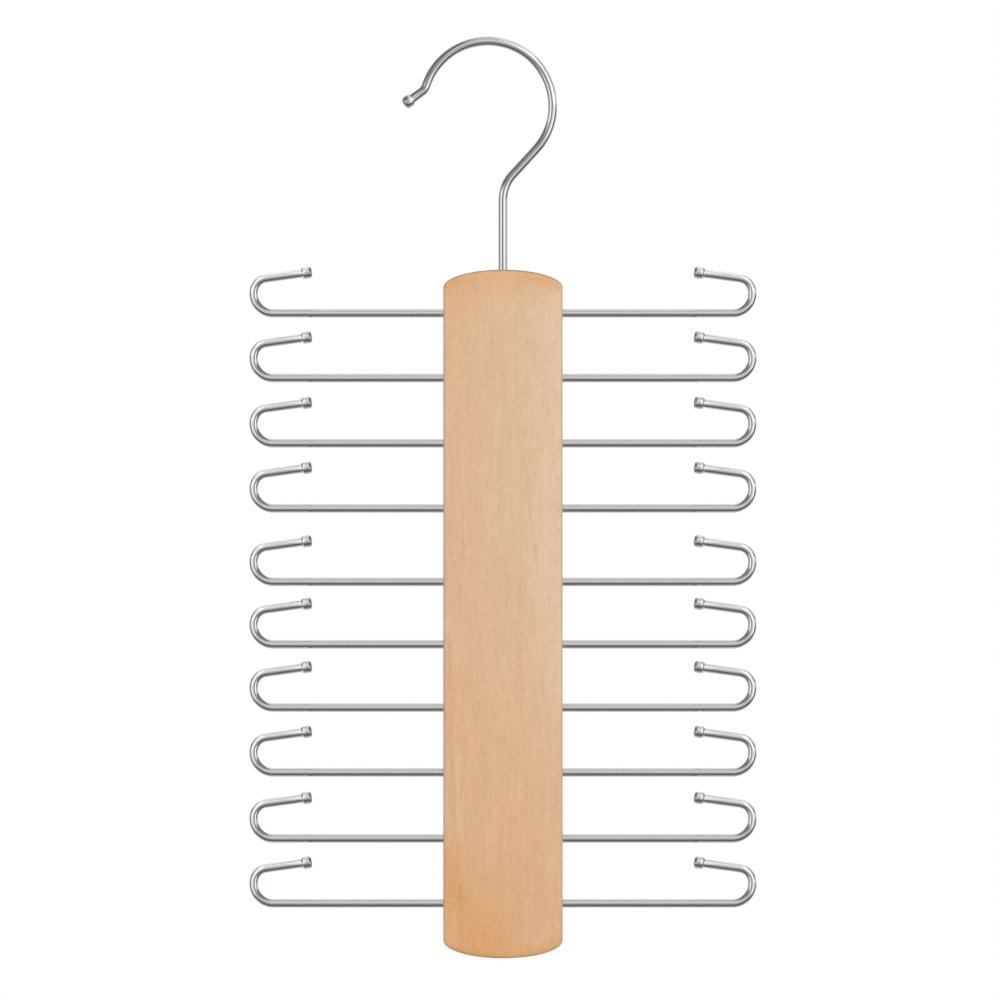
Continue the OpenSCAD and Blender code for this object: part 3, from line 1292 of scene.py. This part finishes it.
@dataclass(frozen=True)
class Softbox:
    """A rectangular lamp that faces the hanger.

    A panel lights only the metal pieces that it is given, which mirror it.
    """

    name: str
    azimuth_deg: float
    elevation_deg: float
    distance: float
    width: float
    height: float
    radiance: float

    def build(self, aim: Vector, mirrored_by: Sequence[bpy.types.Object] = ()) -> bpy.types.Object:
        """The lamp, in its place.

        Args:
            aim: The point that it faces.
            mirrored_by: The pieces that mirror it. Without any, it is a soft light for the matt parts.

        Returns:
            The lamp's object.
        """
        lamp = bpy.data.lights.new(self.name, "AREA")
        lamp.shape = "RECTANGLE"
        lamp.size, lamp.size_y = self.width, self.height
        lamp.energy = self.radiance * math.pi * self.width * self.height
        turn, lift = math.radians(self.azimuth_deg), math.radians(self.elevation_deg)
        out = Vector((math.sin(turn) * math.cos(lift), -math.cos(turn) * math.cos(lift), math.sin(lift)))
        piece = new_object(self.name, lamp)
        piece.location = aim + out * self.distance
        piece.rotation_euler = out.to_track_quat("Z", "Y").to_euler()
        piece.visible_camera = False
        piece.visible_glossy = bool(mirrored_by)
        if mirrored_by:
            group = bpy.data.collections.new(f"{self.name}_receivers")
            for receiver in mirrored_by:
                group.objects.link(receiver)
            piece.light_linking.receiver_collection = group
        return piece


@dataclass(frozen=True)
class Card:
    """A pale or dark part of the studio that the metal mirrors, by its edges in degrees.

    Azimuth is 0 towards the camera and grows to the right, and elevation is 0 at the height of the hanger.
    """

    left: float
    right: float
    bottom: float
    top: float
    level: float
    soft: float = 8.0

    def mask(self, graph: Graph, azimuth: Socket, elevation: Socket) -> Feed:
        """How much of the card lies in a direction."""
        sides = []
        for value, low, high in ((azimuth, self.left, self.right), (elevation, self.bottom, self.top)):
            sides.append(graph.step(value, low - self.soft, low + self.soft))
            sides.append(graph.step(value, high + self.soft, high - self.soft))
        return graph.product(*sides)


@dataclass
class Studio:
    """Pale floor, soft lamps and a long-lens camera in front of the hanger."""

    ambient: float = 0.74
    # The camera, whose frame is the photograph's
    frame_width: float = 0.39424
    centre_x: float = -1.163 * MM
    top_to_centre: float = 182.66 * MM
    distance: float = 10.0
    sensor: float = 36.0
    clip: Span = (0.05, 50.0)
    # The floor, which fades into the white ground between the two distances from its middle
    floor_drop: float = 0.06
    floor_radius: float = 0.9
    floor_fade: Span = (0.22, 0.62)
    floor_tones: tuple[Tone, Tone] = (from_srgb(244, 244, 243), from_srgb(249, 249, 248))
    floor_clouds: Layer = Layer((9, 9, 9), 3)
    # Soft light for the matt parts
    boxes: tuple[Softbox, ...] = (
        Softbox("right_box", 50, 8, 1.3, 0.5, 1.3, 1.5),
        Softbox("left_box", -50, 8, 1.3, 0.5, 1.3, 1.15),
        Softbox("top_box", 0, 78, 1.1, 1.3, 0.5, 1.2),
    )
    # Panels that only the wires of one side mirror, and panels that all tie hooks do
    wings: dict[Side, tuple[Softbox, ...]] = field(default_factory=lambda: {
        side: (
            Softbox(f"{side.value}_near", side.hand * 21, -5, 1.6, 0.66, 0.95, 0.62),
            Softbox(f"{side.value}_core", side.hand * 44, 33, 1.6, 1.3, 1.5, 0.92),
            Softbox(f"{side.value}_wing", side.hand * 112, 48, 1.6, 2.2, 1.6, 0.32),
            Softbox(f"{side.value}_ceiling", side.hand * 100, 66, 1.6, 1.4, 0.95, 0.36),
        )
        for side in Side
    })
    rack_panels: tuple[Softbox, ...] = (
        Softbox("rack_front", 0, 8, 1.6, 0.5, 0.6, 0.13),
        Softbox("rack_top", 180, 80, 1.6, 1.2, 1.1, 0.1),
        Softbox("rack_back", 180, 50, 1.6, 1.4, 1.7, 0.24),
    )
    # The world that all metal mirrors: brightness by elevation, in front and behind, and the cards on it
    front_levels: tuple[Span, ...] = (
        (-90, 0.3), (-65, 0.15), (-35, 0.13), (-21, 0.42), (-9, 0.66), (0, 0.5), (14, 0.82), (30, 0.86),
        (45, 0.54), (65, 0.62), (90, 0.75),
    )
    back_levels: tuple[Span, ...] = (
        (-90, 0.3), (-62, 0.62), (-30, 0.95), (0, 0.9), (26, 0.6), (60, 0.5), (90, 0.72),
    )
    front_to_back: Span = (-0.25, 0.45)
    cards: tuple[Card, ...] = (
        Card(-156, -24, 14, 70, 0.2, 9),
        Card(24, 156, 14, 70, 0.2, 9),
        Card(34, 66, -20, 14, 1.3, 6),
        Card(-66, -34, -8, 14, 1.3, 6),
        Card(-54, -30, -22, -5, 1.15, 6),
        Card(66, 128, -50, 0, 0.18, 7),
        Card(-128, -76, -40, 12, 0.26, 7),
        Card(9, 29, -26, 16, 0.27, 5),
        Card(-29, -9, -26, 16, 0.27, 5),
        Card(-9, 9, -7, 7, 0.32, 4),
    )

    def camera(self) -> bpy.types.Object:
        """The camera, straight in front."""
        eye = bpy.data.cameras.new("camera")
        eye.sensor_width = self.sensor
        eye.lens = self.sensor * self.distance / self.frame_width
        eye.clip_start, eye.clip_end = self.clip
        piece = new_object("camera", eye)
        piece.location = (self.centre_x, -self.distance, CAD_BOX[1].z - self.top_to_centre)
        piece.rotation_euler = (math.pi / 2, 0, 0)
        bpy.context.scene.camera = piece
        return piece

    def floor_finish(self) -> bpy.types.Material:
        """Pale matt floor that fades into the white ground, and isn't there when it is seen from below."""
        material, graph, shader = new_material("pale_floor")
        place = graph.put("ShaderNodeTexCoord").outputs["Object"]
        tone = graph.mix(graph.noise(place, self.floor_clouds), *self.floor_tones)
        graph.fill(shader, {"Base Color": tone, "Roughness": 0.9, "Specular IOR Level": 0.1})
        glow = graph.put("ShaderNodeEmission", {"Color": WHITE, "Strength": 1.0})
        clear = graph.put("ShaderNodeBsdfTransparent")
        seen = graph.put("ShaderNodeLightPath").outputs["Is Camera Ray"]
        below = graph.put("ShaderNodeNewGeometry").outputs["Backfacing"]
        end = next(n for n in graph.tree.nodes if n.type == "OUTPUT_MATERIAL")
        look = shader
        for share, other in ((graph.product(seen, graph.step(graph.length(place), *self.floor_fade)), glow),
                             (below, clear)):
            look = graph.put("ShaderNodeMixShader", {0: share, 1: look.outputs[0], 2: other.outputs[0]})
        graph.feed(end.inputs["Surface"], look.outputs[0])
        return material

    def floor(self) -> bpy.types.Object:
        """Round pale floor under the hanger, which keeps the shadow."""
        work = bmesh.new()
        bmesh.ops.create_circle(work, cap_ends=True, radius=self.floor_radius, segments=128)
        mesh = bpy.data.meshes.new("floor")
        work.to_mesh(mesh)
        work.free()
        piece = new_object("floor", mesh)
        piece.location = (0, 0, CAD_BOX[0].z - self.floor_drop)
        mesh.materials.append(self.floor_finish())
        piece.visible_glossy = False
        return piece

    def levels(self, graph: Graph, elevation: Socket, stops: tuple[Span, ...]) -> Socket:
        """Brightness of one half of the studio.

        Args:
            graph: The world's graph.
            elevation: Elevation of the direction, in degrees.
            stops: Elevation and brightness, from below to above.

        Returns:
            The brightness.
        """
        ramp = graph.put("ShaderNodeValToRGB", {0: graph.added(0.5, elevation, 1 / 180)})
        elements = ramp.color_ramp.elements
        while len(elements) < len(stops):
            elements.new(0.5)
        for stop, (angle, level) in zip(list(elements), stops):
            stop.position = angle / 180 + 0.5
            stop.color = (level, level, level, 1)
        return ramp.outputs[0]

    def mirrored(self, graph: Graph) -> Socket:
        """What the metal mirrors: two halves of soft light, and the cards in front of them."""
        x, y, z = graph.parts(graph.put("ShaderNodeTexCoord").outputs["Generated"])
        azimuth = graph.math("DEGREES", graph.math("ARCTAN2", x, graph.product(y, -1.0)))
        elevation = graph.math("DEGREES", graph.math("ARCSINE", z))
        front = self.levels(graph, elevation, self.front_levels)
        back = self.levels(graph, elevation, self.back_levels)
        colour = graph.mix(graph.step(y, *self.front_to_back), front, back)
        for card in self.cards:
            level = (card.level, card.level, card.level, 1)
            colour = graph.mix(card.mask(graph, azimuth, elevation), colour, level)
        return colour

    def world(self) -> bpy.types.World:
        """White ground for the camera, even light for the object, and the studio for the metal to mirror."""
        world = bpy.data.worlds.new("studio")
        world.use_nodes = True
        bpy.context.scene.world = world
        graph = Graph(world.node_tree)
        path = graph.put("ShaderNodeLightPath").outputs
        ambient = (self.ambient, self.ambient, self.ambient, 1)
        seen = graph.math("MAXIMUM", path["Is Camera Ray"], path["Is Transmission Ray"])
        colour = graph.mix(path["Is Glossy Ray"], ambient, self.mirrored(graph))
        ground = graph.put("ShaderNodeBackground", {"Color": graph.mix(seen, colour, WHITE), "Strength": 1.0})
        graph.put("ShaderNodeOutputWorld", {"Surface": ground.outputs[0]})
        return world

    def build(self) -> None:
        """The whole studio, but for the panels."""
        bpy.context.scene.view_settings.view_transform = "Standard"
        self.world()
        self.floor()
        self.camera()
        aim = (CAD_BOX[0] + CAD_BOX[1]) / 2
        for box in self.boxes:
            box.build(aim)

    def build_panels(self, wires: dict[Side, Wires], hook: bpy.types.Object) -> None:
        """The panels that the wires mirror. The two halves of the rack mirror each other's surroundings.

        Args:
            wires: The tie hooks of each side.
            hook: The swivel hook, which stands in the right-hand surroundings.
        """
        aim = (CAD_BOX[0] + CAD_BOX[1]) / 2
        for side, panels in self.wings.items():
            receivers = wires[side] + ([hook] if side is Side.RIGHT else [])
            for panel in panels:
                panel.build(aim, receivers)
        for panel in self.rack_panels:
            panel.build(aim, wires[Side.LEFT] + wires[Side.RIGHT])


def report(piece: bpy.types.Object) -> None:
    """Logs one finished piece."""
    LOG.info("%s: %d faces", piece.name, len(piece.data.polygons))


def main() -> None:
    """Builds the studio and every piece, in order, and reports each."""
    logging.basicConfig(level=logging.INFO, format="%(name)s: %(message)s")
    studio = Studio()
    studio.build()
    hooks = [TieHook(side, row) for side in Side for row in range(1, 11)]
    heights = {side: [h.bar_z for h in hooks if h.side is side] for side in Side}

    block = WoodBlock()
    wood = block.build(heights)
    block.dress(wood, PaleHardwood().build(block.low.z, block.high.z))
    report(wood)

    hook = SwivelHook()
    hook_wire = hook.build(block.high.z)
    hook.dress(hook_wire, SatinNickel("satin_nickel_hook", roughness=0.1, spread=0.05).build())
    report(hook_wire)

    report(HookSleeve().dress(TurnedZinc().build()))

    plate = SatinNickel("satin_nickel_bars", roughness=0.155).build()
    wires: dict[Side, Wires] = {side: [] for side in Side}
    for tie_hook in hooks:
        wire = tie_hook.build()
        tie_hook.dress(wire, plate)
        wires[tie_hook.side].append(wire)
        report(wire)

    studio.build_panels(wires, hook_wire)


if __name__ == "__main__":
    main()
